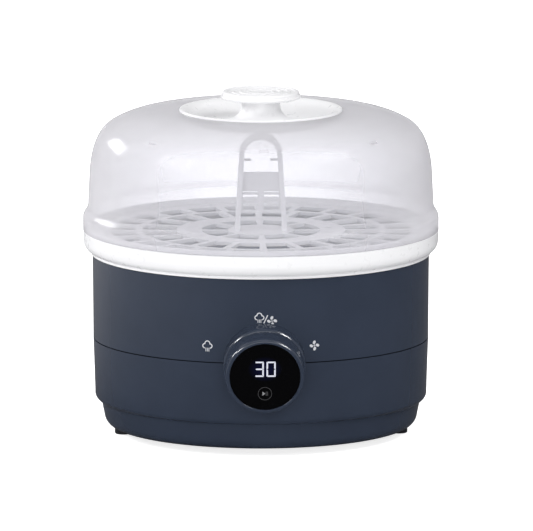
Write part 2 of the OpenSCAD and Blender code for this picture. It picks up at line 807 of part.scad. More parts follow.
module accessory_tray() {
    lip = 1.3;
    foot_in = body_r + 1.2;
    side = concat(
        [[foot_in, rim_z], [foot_in + 0.4, rim_z + 0.3], [foot_in + 0.4, rim_z + lip], [foot_in + 0.1, rim_z + lip + 0.5]],
        bezier([foot_in + 0.1, rim_z + lip + 0.5], [foot_in + 4, rim_z + 3.4], [tray_r - 0.3, rim_z + 6], [tray_r, rim_z + 10], 8),
        [[tray_r, rim_top - 0.5], [tray_r - 0.5, rim_top]]
    );
    inside = bezier([tray_r - tray_wall, rim_z + 10.5], [tray_r - tray_wall - 0.3, rim_z + 7.5],
        [foot_in + 1.4, rim_z + 5.5], [foot_in - tray_wall, rim_z + 3.6], 6);
    up_r = skirt_r - dome_wall - loose;
    up_top = rim_top + 3.4;
    ring_r = liner_in - loose - 0.1;
    profile = concat(side,
        [[up_r, rim_top], [up_r, up_top - 0.5], [up_r - 0.5, up_top], [up_r - 1.8, up_top], [up_r - 2.3, up_top - 0.5],
         [up_r - 2.3, tray_floor], [0, tray_floor], [0, tray_under], [ring_r - 2.2, tray_under],
         [ring_r - 2.2, rim_z - 9], [ring_r, rim_z - 9], [ring_r, tray_under], [tray_r - tray_wall, tray_under]],
        inside, [[foot_in - tray_wall, rim_z]]);
    color(white) difference() {
        revolve(profile);
        for (ring = window_rings) {
            r0 = ring[0] * window_scale;
            r1 = ring[1] * window_scale;
            around(ring[2], 180 / ring[2])
                arc_window(r0, r1, 360 / ring[2] - spoke_w / r1 * 180 / PI, tray_under - 1, tray_floor + 1);
        }
        for (s = [-1, 1]) translate([s * peg_x, 0, 0]) rod(peg_r + seat, tray_under - 1, tray_floor + 1);
    }
}

module arch_outline(inner) {
    r = arch_top_r - inner;
    base = arch_base_w / 2 - inner;
    spring_z = arch_h - arch_top_r;
    translate([0, spring_z]) circle(r = r);
    polygon([[-base, -inner], [base, -inner], [r, spring_z], [-r, spring_z]]);
}

// Arch with a slotted panel between its legs, on the back half
module tray_handle() {
    panel_z0 = 12;
    panel_z1 = 41.6;
    panel_t = 2;
    centre_bar = 4.6;
    slot_rows = [[14.1, 18.6], [20.7, 25.1], [26.8, 27.6]];
    slot_x = arch_top_r - 2.5;
    tab_z = arch_h - arch_top_r - 4.2;
    color(white) translate([0, 0, tray_floor]) {
        translate([0, arch_depth / 2, 0]) rotate([90, 0, 0]) linear_extrude(arch_depth) difference() {
            arch_outline(0);
            arch_outline(arch_bar);
        }
        translate([0, arch_depth / 2, 0]) rotate([90, 0, 0]) linear_extrude(panel_t) intersection() {
            arch_outline(arch_bar / 2);
            difference() {
                translate([-arch_base_w, panel_z0]) square([2 * arch_base_w, panel_z1 - panel_z0]);
                for (row = slot_rows, s = [-1, 1])
                    translate([s * (slot_x + centre_bar / 2) / 2 - (slot_x - centre_bar / 2) / 2, row[0]])
                        square([slot_x - centre_bar / 2, row[1] - row[0]]);
            }
        }
        for (s = [-1, 1]) {
            block(s > 0 ? arch_top_r - 8.5 : -arch_top_r + 2, s > 0 ? arch_top_r - 2 : -arch_top_r + 8.5,
                -1, arch_depth / 2, tab_z, tab_z + 0.8);
            translate([s * peg_x, 0, 0]) rod(peg_r, -tray_wall, 0.5);
        }
    }
}

// ---- Lid ----

dish_hole_r = dish_r - 3.5;
vent_count_lid = 8;
vent_ring = body_r - 8.6;
vent_w = 6.5;

// Outer surface of the dome, from its foot up to the dish
wall_top = [body_r + 2.6, dome_top - dome_h * 0.52];
bend_top = [body_r - 11.4, dome_top - 9.7];
dome_path = concat(
    [[skirt_r, rim_top], [skirt_r, rim_top + 8.6]],
    bezier([skirt_r, rim_top + 8.6], [skirt_r, rim_top + 13.2], [body_r + 4, rim_top + 13.8], [body_r + 3.7, rim_top + 18], 7),
    [wall_top],
    bezier(wall_top, wall_top + [-0.85, 0.42 * dome_h * 0.52], bend_top + [7.4, -4.6], bend_top, 12),
    bezier(bend_top, bend_top + [-18.3, 11.3], [dish_r + 11.5, dome_top - 0.2], [dish_r, dome_top], 12),
    [[dish_hole_r, dome_top]]
);

module lid_dome() {
    color(clear) difference() {
        revolve(concat(dome_path, reverse(inset(dome_path, dome_wall))));
        // Steam vents: a slit under a shallow dimple
        around(vent_count_lid, -90) translate([vent_ring, 0, dome_top - 11.7]) rotate([0, 40, 0]) {
            cube([1.5, vent_w, 12], center = true);
            translate([-2.2, 0, 7.2]) sphere(r = 7, $fn = 48);
        }
    }
}

dish_floor = dome_top - 8.3;
dish_wall = 2;
dish_lip = 1.5;
clamp_h = 2.6;
neck_r = 14;
neck_top = dome_top + 8.9;
knob_t = 5.4;
knob_top = neck_top + knob_t;
web_z = dome_top + 1;
knob_stem_r = 5;

module lid_dish() {
    rim = dish_r - 2.5;
    bowl = concat(
        [[dish_r, dome_top], [dish_r, dome_top + 0.6]],
        arc([dish_r - 0.9, dome_top + dish_lip - 0.9], 0.9, 0, 90, 4),
        [[rim + 0.5, dome_top + dish_lip]],
        bezier([rim, dome_top + dish_lip - 0.3], [rim - 7, dome_top + 0.6], [rim - 9, dish_floor], [rim - 20, dish_floor], 10),
        bezier([rim - 20, dish_floor], [neck_r + 10, dish_floor], [neck_r + 0.8, dish_floor + 2.5], [neck_r, web_z + 3], 10),
        [[neck_r, neck_top]]
    );
    hole = dish_hole_r - 0.4;
    under = concat(
        [[neck_r - dish_wall, neck_top], [neck_r - dish_wall, web_z + 1.5], [knob_stem_r - 1.2, web_z + 1.5], [knob_stem_r - 1.2, web_z - 1],
         [neck_r - dish_wall, web_z - 1]],
        bezier([neck_r - dish_wall, web_z - 1], [neck_r - dish_wall + 1, dish_floor + 0.5],
            [neck_r + 8, dish_floor - dish_wall], [rim - 20, dish_floor - dish_wall], 8),
        bezier([rim - 20, dish_floor - dish_wall], [rim - 10, dish_floor - dish_wall],
            [hole - 3, dish_floor - 0.4], [hole, dome_top - dome_wall - clamp_h], 8),
        [[hole, dome_top]]
    );
    color(white) revolve(concat(bowl, under));
}

// Snap ring under the dome that grips the dish in its hole
module dish_clamp() {
    top = dome_top - dome_wall - 0.1;
    color(white) revolve([
        [dish_hole_r - 0.4 + seat, top - clamp_h + 0.4], [dish_hole_r + 1.4, top - clamp_h + 0.4],
        [dish_hole_r + 2.6, top - 0.8], [dish_hole_r + 2.6, top], [dish_hole_r - 0.4 + seat, top]
    ]);
}

// Round knob with a stepped edge; a shallow well in its top takes the cap
cap_r = knob_r - 5.3;
cap_well = 1.6;

module lid_knob() {
    edge = 0.9;
    profile = concat(
        [[0, neck_top - 3], [knob_stem_r, neck_top - 3], [knob_stem_r, neck_top], [knob_r - 2, neck_top], [knob_r - 0.6, neck_top + 0.5]],
        arc([knob_r - edge, neck_top + 1.6], edge, 0, 90, 4),
        [[knob_r - 1.5, neck_top + 2.7]],
        arc([knob_r - 1.5 - 1.2, knob_top - 1.2], 1.2, 0, 90, 5),
        [[cap_r + 0.8, knob_top], [cap_r + seat, knob_top - 0.6], [cap_r + seat, knob_top - cap_well], [0, knob_top - cap_well]]
    );
    color(white) difference() {
        revolve(profile);
        rod(1.4, neck_top - 4, knob_top - cap_well - 1);
    }
}

// Cap with raised rings
module knob_cap() {
    base = knob_top - cap_well;
    face = base + 0.9;
    color(white) {
        rod(cap_r, base, face);
        for (r = [cap_r - 3, cap_r - 8.5, cap_r - 14]) tube(r, r - 1.6, face - eps, face + 0.45);
    }
}

module knob_screw() {
    color(steel) {
        rod(3, web_z - 1 - 1.6, web_z - 1);
        rod(1.35, web_z - 1 - eps, neck_top + 1);
    }
}

bottom_pan();
rubber_feet();
pan_screws();
lower_shell();
upper_shell();
chamber_liner();
liner_screws();
heating_plate();
plate_seal();
heat_spreader();
heating_element();
thermostat();
thermal_fuse();
blower_housing();
blower_cover();
blower_motor();
blower_shaft();
blower_wheel();
air_duct();
air_heater();
air_outlet_grille();
filter_box();
filter_cover();
air_filter();
power_board();
board_components();
power_inlet();
inlet_pins();
mains_wires();
heater_wires();
display_cable();
dial_collar();
dial_retainer();
dial_sleeve();
dial_ring();
dial_magnet();
detent_ball();
detent_spring();
display_lens();
display_board();
display_module();
touch_spring();
position_sensor();
bottle_rack();
accessory_tray();
tray_handle();
lid_dome();
lid_dish();
dish_clamp();
lid_knob();
knob_cap();
knob_screw();
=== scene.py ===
"""Looks for the bottle sterilizer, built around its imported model.

Every length is in metres. The frame gives the places; this file adds finishes, the
display's digits, the touch key, the printed function marks, the stage and the camera.
"""

import json
import math

import bmesh
import bpy
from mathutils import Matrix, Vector


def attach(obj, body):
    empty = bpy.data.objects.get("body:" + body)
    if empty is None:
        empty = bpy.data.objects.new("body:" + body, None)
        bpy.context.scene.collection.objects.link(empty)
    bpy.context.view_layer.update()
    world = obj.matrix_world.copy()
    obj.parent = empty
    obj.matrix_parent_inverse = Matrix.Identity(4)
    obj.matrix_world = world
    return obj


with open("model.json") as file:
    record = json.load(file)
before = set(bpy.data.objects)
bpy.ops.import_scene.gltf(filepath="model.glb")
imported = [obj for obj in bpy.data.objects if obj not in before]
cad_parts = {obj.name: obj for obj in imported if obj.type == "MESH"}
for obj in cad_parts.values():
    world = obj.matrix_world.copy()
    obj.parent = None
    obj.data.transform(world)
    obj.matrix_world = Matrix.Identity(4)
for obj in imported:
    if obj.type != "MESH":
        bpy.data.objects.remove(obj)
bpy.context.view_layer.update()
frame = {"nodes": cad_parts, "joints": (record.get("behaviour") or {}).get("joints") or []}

bl_info = {
    "name": "Bottle Sterilizer",
    "version": (1, 0, 0),
    "blender": (4, 5, 0),
    "location": "3D View > Sidebar > Sterilizer",
    "description": "Finishes, printed marks and stage for a bottle sterilizer",
    "category": "Object",
}

MM = 0.001


# ---- Settings ----


def length(name, description, default):
    return bpy.props.FloatProperty(
        name=name, description=description, default=default, min=0.0, unit="LENGTH"
    )


def colour(name, description, default):
    return bpy.props.FloatVectorProperty(
        name=name,
        description=description,
        default=default,
        size=3,
        min=0.0,
        max=1.0,
        subtype="COLOR",
    )


class SterilizerSizes(bpy.types.PropertyGroup):
    digit_height: length("Digit height", "Height of the display's digits", 11.7 * MM)
    digit_width: length("Digit width", "Width of one digit", 6.6 * MM)
    digit_pitch: length("Digit pitch", "Distance between the two digits", 8.5 * MM)
    digit_rise: length("Digit rise", "Height of the digits above the dial's axis", 5.9 * MM)
    segment: length("Segment width", "Width of a digit's bright segment", 1.12 * MM)
    segment_gap: length("Segment gap", "Dark gap between two segments", 0.14 * MM)
    key_radius: length("Key radius", "Radius of the touch key's circle", 4.85 * MM)
    key_drop: length("Key drop", "Distance of the touch key below the axis", 12.9 * MM)
    mark_size: length("Mark size", "Width of one printed function mark", 7.4 * MM)
    mark_stroke: length("Mark stroke", "Width of a printed line", 0.72 * MM)
    print_depth: length("Print depth", "How far the print stands on the shell", 0.03 * MM)


class SterilizerColours(bpy.types.PropertyGroup):
    navy: colour("Navy", "Moulded shells, ring and pan", (0.028, 0.037, 0.058))
    white: colour("White", "Tray, lid dish and knob", (0.86, 0.86, 0.87))
    haze: colour("Dome haze", "Tint of the dome's plastic", (0.86, 0.85, 0.865))
    chamber: colour("Chamber", "Liner of the steam chamber", (0.07, 0.14, 0.26))
    rack: colour("Rack", "Bottle rack", (0.22, 0.40, 0.60))
    digit: colour("Digits", "Lit segments of the display", (0.86, 0.88, 1.0))
    printed: colour("Print", "Function marks on the shell", (0.60, 0.61, 0.64))


class SterilizerStage(bpy.types.PropertyGroup):
    distance: length("Camera distance", "From the camera to the object", 12.0)
    frame_width: length("Frame width", "Width of the view at the object", 0.3859)
    aside: length("Aside", "How far the view's middle lies right of the axis", 4.1 * MM)
    view_height: length("View height", "Height of the view's middle", 121.2 * MM)
    pitch: bpy.props.FloatProperty(
        name="Pitch",
        description="How far the camera looks down",
        default=math.radians(9.3),
        subtype="ANGLE",
    )
    turn: bpy.props.FloatProperty(
        name="Turn",
        description="How far the camera stands round the object",
        default=math.radians(-1.2),
        subtype="ANGLE",
    )
    floor_size: length("Floor size", "Side of the square floor", 30.0)


def sizes():
    return bpy.context.scene.sterilizer_sizes


def colours():
    return bpy.context.scene.sterilizer_colours


# ---- Finishes ----


class Finish:
    """A node material being put together."""

    def __init__(self, name):
        self.material = bpy.data.materials.new(name)
        self.material.use_nodes = True
        self.tree = self.material.node_tree
        self.tree.nodes.clear()
        self.output = self.node("ShaderNodeOutputMaterial")
        self.place = self.node("ShaderNodeTexCoord").outputs["Object"]

    def node(self, kind, inputs=None, **settings):
        made = self.tree.nodes.new(kind)
        for key, value in settings.items():
            setattr(made, key, value)
        for key, value in (inputs or {}).items():
            self.put(made.inputs[key], value)
        return made

    def put(self, socket, value):
        if isinstance(value, bpy.types.NodeSocket):
            self.tree.links.new(value, socket)
        elif isinstance(value, bpy.types.Node):
            self.tree.links.new(value.outputs[0], socket)
        else:
            socket.default_value = value

    def stretched(self, scale):
        return self.node(
            "ShaderNodeMapping", {"Vector": self.place, "Scale": scale}
        ).outputs[0]

    def noise(self, size, detail=3.0, rough=0.5, place=None):
        """Noise whose blobs are about size across."""
        return self.node(
            "ShaderNodeTexNoise",
            {
                "Vector": place or self.place,
                "Scale": 1.0 / size,
                "Detail": detail,
                "Roughness": rough,
            },
        ).outputs["Fac"]

    def span(self, value, low, high, from_low=0.3, from_high=0.7):
        return self.node(
            "ShaderNodeMapRange",
            {
                "Value": value,
                "From Min": from_low,
                "From Max": from_high,
                "To Min": low,
                "To Max": high,
            },
        ).outputs[0]

    def shades(self, fac, low, high):
        mix = self.node("ShaderNodeMix", data_type="RGBA")
        self.put(mix.inputs[0], fac)
        self.put(mix.inputs[6], (*low, 1.0))
        self.put(mix.inputs[7], (*high, 1.0))
        return mix.outputs[2]

    def bump(self, height, depth, below=None):
        made = self.node("ShaderNodeBump", {"Height": height, "Distance": depth})
        if below is not None:
            self.put(made.inputs["Normal"], below)
        return made.outputs[0]

    def plastic(self, **inputs):
        return self.node("ShaderNodeBsdfPrincipled", inputs)

    def close(self, shader):
        self.put(self.output.inputs["Surface"], shader)
        return self.material


def toned(rgb, factor):
    return tuple(min(1.0, part * factor) for part in rgb)


def moulded(
    name,
    rgb,
    roughness,
    spread=0.05,
    tone=0.05,
    peel=(2.6 * MM, 0.006 * MM),
    grain=(0.35 * MM, 0.0015 * MM),
    ior=1.5,
    **inputs,
):
    """Moulded plastic: slight flow marks in the colour, an uneven gloss, and the soft
    waviness of the tool in its relief, with the tool's fine grain unless it is polished."""
    finish = Finish(name)
    flow = finish.span(finish.noise(34 * MM, 4.0), 0.0, 1.0)
    rub = finish.noise(6 * MM, 5.0, 0.6)
    relief = finish.bump(finish.noise(peel[0], 2.0), peel[1])
    if grain:
        relief = finish.bump(finish.noise(grain[0], 3.0), grain[1], relief)
    shader = finish.plastic(
        **{
            "Base Color": finish.shades(flow, toned(rgb, 1 - tone), toned(rgb, 1 + tone)),
            "Roughness": finish.span(rub, roughness - spread, roughness + spread),
            "IOR": ior,
            "Normal": relief,
            **inputs,
        }
    )
    return finish.close(shader)


def navy_gloss():
    return moulded(
        "Navy gloss moulding",
        colours().navy,
        0.09,
        spread=0.015,
        peel=(7.0 * MM, 0.0012 * MM),
        grain=None,
        ior=1.45,
    )


def white_plastic():
    return moulded(
        "White moulding",
        colours().white,
        0.28,
        spread=0.01,
        tone=0.006,
        peel=(8.0 * MM, 0.0012 * MM),
        grain=None,
        ior=1.46,
    )


def clear_dome():
    """Hazy clear plastic: part of the light goes straight through and part is
    scattered in the wall, more of it where the wall is seen edge-on."""
    finish = Finish("Hazy clear moulding")
    tint = colours().haze
    flow = finish.span(finish.noise(45 * MM, 4.0), 0.0, 1.0)
    relief = finish.bump(finish.noise(7.0 * MM, 2.0), 0.002 * MM)
    colour_in = finish.shades(flow, toned(tint, 0.985), toned(tint, 1.01))
    surface = finish.plastic(
        **{
            "Base Color": colour_in,
            "Roughness": finish.span(finish.noise(8 * MM, 4.0), 0.10, 0.16),
            "IOR": 1.49,
            "Normal": relief,
        }
    )
    lit_through = finish.node(
        "ShaderNodeBsdfTranslucent", {"Color": colour_in, "Normal": relief}
    )
    body = finish.node("ShaderNodeMixShader", {0: 0.45, 1: surface, 2: lit_through})
    clear = finish.node("ShaderNodeBsdfTransparent", {"Color": (0.97, 0.97, 0.985, 1.0)})
    edge = finish.node("ShaderNodeLayerWeight", {"Blend": 0.42}).outputs["Facing"]
    haze = finish.span(edge, 0.19, 0.84, 0.05, 0.95)
    return finish.close(finish.node("ShaderNodeMixShader", {0: haze, 1: clear, 2: body}))


def chamber_plastic():
    return moulded("Slate liner moulding", colours().chamber, 0.36, tone=0.06)


def rack_plastic():
    return moulded(
        "Pale blue rack moulding", colours().rack, 0.3, tone=0.03, peel=(3 * MM, 0.005 * MM)
    )


def black_glass():
    """The polished black window, with a faint blue bloom around the lit digits."""
    finish = Finish("Black display window")
    at = dial_place(0.0, sizes().digit_rise, face_height("display_lens"))
    away = finish.node("ShaderNodeVectorMath", operation="SUBTRACT")
    finish.put(away.inputs[0], finish.place)
    away.inputs[1].default_value = at
    squeezed = finish.node("ShaderNodeVectorMath", operation="MULTIPLY")
    finish.put(squeezed.inputs[0], away.outputs[0])
    squeezed.inputs[1].default_value = (1 / (13 * MM), 1 / (40 * MM), 1 / (10 * MM))
    far = finish.node("ShaderNodeVectorMath", operation="LENGTH")
    finish.put(far.inputs[0], squeezed.outputs[0])
    bloom = finish.span(far.outputs["Value"], 1.0, 0.0, 0.3, 0.95)
    smudge = finish.noise(4 * MM, 5.0, 0.65)
    shader = finish.plastic(
        **{
            "Base Color": finish.shades(
                smudge, (0.0012, 0.0012, 0.0015), (0.002, 0.002, 0.0023)
            ),
            "Roughness": finish.span(smudge, 0.03, 0.07),
            "IOR": 1.4,
            "Specular IOR Level": 0.12,
            "Normal": finish.bump(finish.noise(12 * MM, 1.0), 0.002 * MM),
            "Emission Color": finish.shades(bloom, (0.0, 0.0, 0.0), (0.002, 0.003, 0.02)),
            "Emission Strength": 1.0,
        }
    )
    return finish.close(shader)


def textured(name, rgb, roughness, grain, depth, **inputs):
    """Spark-eroded plastic or rubber: a dry surface with a visible grain."""
    finish = Finish(name)
    pits = finish.node(
        "ShaderNodeTexVoronoi", {"Vector": finish.place, "Scale": 1.0 / grain}
    ).outputs["Distance"]
    cloud = finish.noise(14 * MM, 4.0)
    relief = finish.bump(pits, depth, finish.bump(finish.noise(grain * 0.5, 3.0), depth * 0.5))
    shader = finish.plastic(
        **{
            "Base Color": finish.shades(cloud, toned(rgb, 0.9), toned(rgb, 1.1)),
            "Roughness": finish.span(cloud, roughness - 0.06, roughness + 0.06),
            "Normal": relief,
            **inputs,
        }
    )
    return finish.close(shader)


def grey_plastic():
    return textured("Matt grey moulding", (0.07, 0.07, 0.08), 0.5, 0.45 * MM, 0.012 * MM)


def black_plastic():
    return textured("Matt black moulding", (0.015, 0.015, 0.017), 0.48, 0.4 * MM, 0.012 * MM)


def foot_rubber():
    return textured("Foot rubber", (0.014, 0.016, 0.021), 0.72, 0.6 * MM, 0.02 * MM, IOR=1.4)


def silicone():
    return textured(
        "Translucent silicone",
        (0.6, 0.6, 0.62),
        0.42,
        0.8 * MM,
        0.006 * MM,
        **{"Subsurface Weight": 0.3, "Subsurface Scale": 0.002},
    )


def ceramic():
    return textured("Glazed ceramic", (0.75, 0.7, 0.55), 0.25, 1.4 * MM, 0.01 * MM)


def metal(name, rgb, roughness, brushed):
    """Metal with fine lines: brushed in rings about the axis, or along one direction."""
    finish = Finish(name)
    if brushed == "rings":
        flat = finish.node("ShaderNodeVectorMath", operation="MULTIPLY")
        finish.put(flat.inputs[0], finish.place)
        flat.inputs[1].default_value = (1.0, 1.0, 0.0)
        ring = finish.node("ShaderNodeVectorMath", operation="LENGTH")
        finish.put(ring.inputs[0], flat.outputs[0])
        lines = finish.node(
            "ShaderNodeTexNoise",
            {"W": ring.outputs["Value"], "Scale": 1.0 / (0.35 * MM), "Detail": 4.0},
            noise_dimensions="1D",
        ).outputs["Fac"]
    else:
        lines = finish.noise(0.4 * MM, 4.0, 0.6, finish.stretched((1.0, 0.04, 1.0)))
    heat = finish.noise(22 * MM, 4.0)
    shader = finish.plastic(
        **{
            "Base Color": finish.shades(heat, toned(rgb, 0.93), toned(rgb, 1.05)),
            "Metallic": 1.0,
            "Roughness": finish.span(lines, roughness - 0.07, roughness + 0.08),
            "Normal": finish.bump(lines, 0.004 * MM),
        }
    )
    return finish.close(shader)


def stainless():
    return metal("Brushed stainless steel", (0.6, 0.61, 0.62), 0.27, "rings")


def aluminium():
    return metal("Plain aluminium", (0.65, 0.66, 0.67), 0.38, "along")


def filter_paper():
    """Felted paper: long pale fibres over a soft mottled ground."""
    finish = Finish("Pleated filter paper")
    fibres = finish.noise(0.7 * MM, 6.0, 0.7, finish.stretched((1.0, 1.0, 0.25)))
    shader = finish.plastic(
        **{
            "Base Color": finish.shades(fibres, (0.7, 0.7, 0.66), (0.84, 0.84, 0.8)),
            "Roughness": finish.span(fibres, 0.82, 0.95),
            "Sheen Weight": 0.25,
            "Sheen Roughness": 0.5,
            "Normal": finish.bump(fibres, 0.06 * MM),
        }
    )
    return finish.close(shader)


def circuit_board():
    """Green solder mask with the tracks showing through as raised lighter lines."""
    finish = Finish("Green solder mask")
    tracks = finish.node(
        "ShaderNodeTexBrick",
        {
            "Vector": finish.place,
            "Scale": 1.0 / (5 * MM),
            "Mortar Size": 0.05,
            "Mortar Smooth": 0.2,
            "Brick Width": 1.6,
            "Row Height": 0.35,
        },
        offset=0.37,
    ).outputs["Fac"]
    cloud = finish.noise(5 * MM, 3.0)
    shader = finish.plastic(
        **{
            "Base Color": finish.shades(tracks, (0.016, 0.10, 0.042), (0.03, 0.17, 0.07)),
            "Roughness": finish.span(cloud, 0.22, 0.34),
            "Normal": finish.bump(tracks, 0.03 * MM),
        }
    )
    return finish.close(shader)


def wire_insulation():
    return moulded("Wire insulation", (0.3, 0.1, 0.08), 0.45, tone=0.12)


def digit_light():
    """Lit segments whose brightness varies a little at random."""
    finish = Finish("Lit display segment")
    rgb = colours().digit
    uneven = finish.noise(2.2 * MM, 2.0)
    shader = finish.plastic(
        **{
            "Base Color": (0.02, 0.02, 0.02, 1.0),
            "Roughness": finish.span(uneven, 0.3, 0.4),
            "Emission Color": finish.shades(uneven, toned(rgb, 0.86), rgb),
            "Emission Strength": 0.95,
            "Normal": finish.bump(uneven, 0.002 * MM),
        }
    )
    return finish.close(shader)


def printed_ink(name, rgb, dots=0.25 * MM):
    """Pad-printed ink: a dry film with a fine uneven surface."""
    finish = Finish(name)
    film = finish.noise(dots, 3.0)
    shader = finish.plastic(
        **{
            "Base Color": finish.shades(film, toned(rgb, 0.93), toned(rgb, 1.05)),
            "Roughness": finish.span(film, 0.42, 0.56),
            "Normal": finish.bump(film, 0.004 * MM),
        }
    )
    return finish.close(shader)


FINISHES = {
    "navy_gloss": navy_gloss,
    "white_plastic": white_plastic,
    "clear_dome": clear_dome,
    "chamber_plastic": chamber_plastic,
    "rack_plastic": rack_plastic,
    "black_glass": black_glass,
    "grey_plastic": grey_plastic,
    "black_plastic": black_plastic,
    "stainless": stainless,
    "aluminium": aluminium,
    "foot_rubber": foot_rubber,
    "silicone": silicone,
    "filter_paper": filter_paper,
    "circuit_board": circuit_board,
    "wire_insulation": wire_insulation,
    "ceramic": ceramic,
}


# ---- Places on the dial and on the shell ----


def dial_axes():
    """Origin, right, up and outward direction of the dial, from its joint."""
    joint = next(j for j in frame["joints"] if j["name"] == "dial_turn")
    out = Vector(joint["axis"]).normalized()
    right = Vector((1.0, 0.0, 0.0))
    return Vector(joint["pos_m"]), right, out.cross(right), out


def dial_place(right_by, up_by, out_by):
    origin, right, up, out = dial_axes()
    return origin + right * right_by + up * up_by + out * out_by


def face_height(node):
    """How far out along the dial's axis a node reaches."""
    origin, _, _, out = dial_axes()
    return max((v.co - origin).dot(out) for v in frame["nodes"][node].data.vertices)


def wall_line(node):
    """The outer wall of a lathed shell as ((height, radius) low, (height, radius) high)."""
    ring = [(v.co.z, math.hypot(v.co.x, v.co.y)) for v in frame["nodes"][node].data.vertices]
    widest = max(ring, key=lambda p: p[1])
    low = min(p for p in ring if p[1] > widest[1] - 0.7 * MM)
    return low, widest


# ---- Flat shapes ----
# A shape is a list of closed outlines in the plane, each a list of (x, y).


def circle(x, y, r, steps=40):
    turn = 2 * math.pi / steps
    return [(x + r * math.cos(i * turn), y + r * math.sin(i * turn)) for i in range(steps)]


def turned(outline, angle, x=0.0, y=0.0):
    c, s = math.cos(angle), math.sin(angle)
    return [(x + c * px - s * py, y + s * px + c * py) for px, py in outline]


def stroke(points, width, closed=False):
    """Quads along a line of points, with mitred corners."""
    count = len(points)
    sides = []
    for i, (x, y) in enumerate(points):
        ahead = points[(i + 1) % count] if closed or i + 1 < count else points[i]
        behind = points[i - 1] if closed or i > 0 else points[i]
        into = Vector((x - behind[0], y - behind[1]))
        away = Vector((ahead[0] - x, ahead[1] - y))
        into = into.normalized() if into.length > 0 else away.normalized()
        away = away.normalized() if away.length > 0 else into
        mid = (into + away).normalized()
        reach = width / 2 / max(0.35, mid.dot(into))
        across = (mid.y * reach, mid.x * reach)
        sides.append(((x - across[0], y + across[1]), (x + across[0], y - across[1])))
    links = count if closed else count - 1
    return [
        [sides[i][0], sides[i][1], sides[(i + 1) % count][1], sides[(i + 1) % count][0]]
        for i in range(links)
    ]


def plate(name, outlines, lift, thickness, place):
    """A thin solid over the outlines. place maps (x, y, height) to the frame."""
    mesh = bmesh.new()
    for outline in outlines:
        area = sum(
            a[0] * b[1] - b[0] * a[1] for a, b in zip(outline, outline[1:] + outline[:1])
        )
        loop = outline if area > 0 else outline[::-1]
        top = [mesh.verts.new(place(x, y, lift + thickness)) for x, y in loop]
        base = [mesh.verts.new(place(x, y, lift)) for x, y in loop]
        mesh.faces.new(top)
        mesh.faces.new(base[::-1])
        for i in range(len(loop)):
            j = (i + 1) % len(loop)
            mesh.faces.new((base[i], base[j], top[j], top[i]))
    bmesh.ops.recalc_face_normals(mesh, faces=mesh.faces)
    data = bpy.data.meshes.new(name)
    mesh.to_mesh(data)
    mesh.free()
    made = bpy.data.objects.new(name, data)
    bpy.context.scene.collection.objects.link(made)
    return made


def finished(piece, material, body):
    piece.data.materials.append(material)
    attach(piece, body)
    return piece


# ---- Display ----

SEGMENTS = {"3": "abcdg", "0": "abcdef"}
# Thickness of the digits and the key print, and their gap to the window
FILM = 0.04 * MM
FILM_LIFT = 0.01 * MM


def digit(figure, x, y, width, height, bar, gap):
    """Seven-segment figure: mitred bars with a dark gap along each mitre."""
    w, h = width / 2, height / 2
    inset = bar * 0.6
    shapes = {
        "a": [(-w + inset, h), (w - gap, h), (w - bar - gap, h - bar), (-w + inset, h - bar)],
        "f": [(-w, h - gap), (-w, gap), (-w + bar / 2, gap), (-w + bar, bar / 2 + gap)]
        + [(-w + bar, h - bar - gap)],
        "g": [(-w + bar / 2 + gap, 0.0), (-w + bar + gap, bar / 2), (w - bar - gap, bar / 2)]
        + [(w - bar / 2 - gap, 0.0), (w - bar - gap, -bar / 2), (-w + bar + gap, -bar / 2)],
    }
    shapes["b"] = [(-px, py) for px, py in shapes["f"]]
    shapes["c"] = [(px, -py) for px, py in shapes["b"]]
    shapes["e"] = [(px, -py) for px, py in shapes["f"]]
    shapes["d"] = [(px, -py) for px, py in shapes["a"]]
    return [[(x + px, y + py) for px, py in shapes[key]] for key in SEGMENTS[figure]]


# ---- Function marks ----

# Where each mark stands: degrees round from the front, and height above the dial's axis
MARK_PLACES = {
    "steam_mark": (-19.6, 12.9 * MM),
    "fan_mark": (17.3, 13.0 * MM),
    "steam_and_fan_mark": (0.45, 32.7 * MM),
}


def steam_mark(size, pen):
    """A rising cloud drawn as one line, over three short plumes."""
    lobes = ((-0.27, -0.02, 0.215), (0.0, 0.22, 0.26), (0.27, -0.02, 0.215))

    def far(angle):
        """How far the lobes reach from the cloud's middle in a direction."""
        ux, uy = math.cos(angle), math.sin(angle)
        reach = 0.0
        for x, y, r in lobes:
            along = x * ux + y * uy
            miss = x * x + y * y - along * along
            if miss < r * r:
                reach = max(reach, along + math.sqrt(r * r - miss))
        return reach

    line = []
    for i in range(61):
        angle = math.radians(-42 + 264 * i / 60)
        line.append((size * far(angle) * math.cos(angle), size * far(angle) * math.sin(angle)))
    parts = stroke(line, pen)
    for x in (-0.16, 0.0, 0.16):
        plume = [
            (size * (x + 0.02 * math.sin(3.2 * t)), size * (-0.58 + 0.12 * t)) for t in range(4)
        ]
        parts += stroke(plume, pen * 0.7)
    return parts


def fan_mark(size, pen):
    """Four leaning blades around a small hub."""
    parts = [circle(0.0, 0.0, size * 0.05, 16)]
    blade = [
        (size * 0.185 * math.cos(a), size * 0.135 * math.sin(a))
        for a in (2 * math.pi * i / 28 for i in range(28))
    ]
    for i in range(4):
        way = math.pi / 2 * i + math.radians(4)
        x, y = size * 0.315 * math.cos(way), size * 0.315 * math.sin(way)
        parts.append(turned(blade, way + math.radians(-32), x, y))
        parts += stroke([(0.0, 0.0), (x * 0.62, y * 0.62)], pen * 0.45)
    return parts


def shell_place(azimuth, height):
    """Maps a flat mark onto the upper shell at an azimuth, 0 at the front, and a height."""
    (z0, r0), (z1, r1) = wall_line("upper_shell")

    def place(x, y, lift):
        z = height + y
        r = r0 + (r1 - r0) * (z - z0) / (z1 - z0) + lift
        angle = azimuth + x / r
        return Vector((r * math.sin(angle), -r * math.cos(angle), z))

    return place


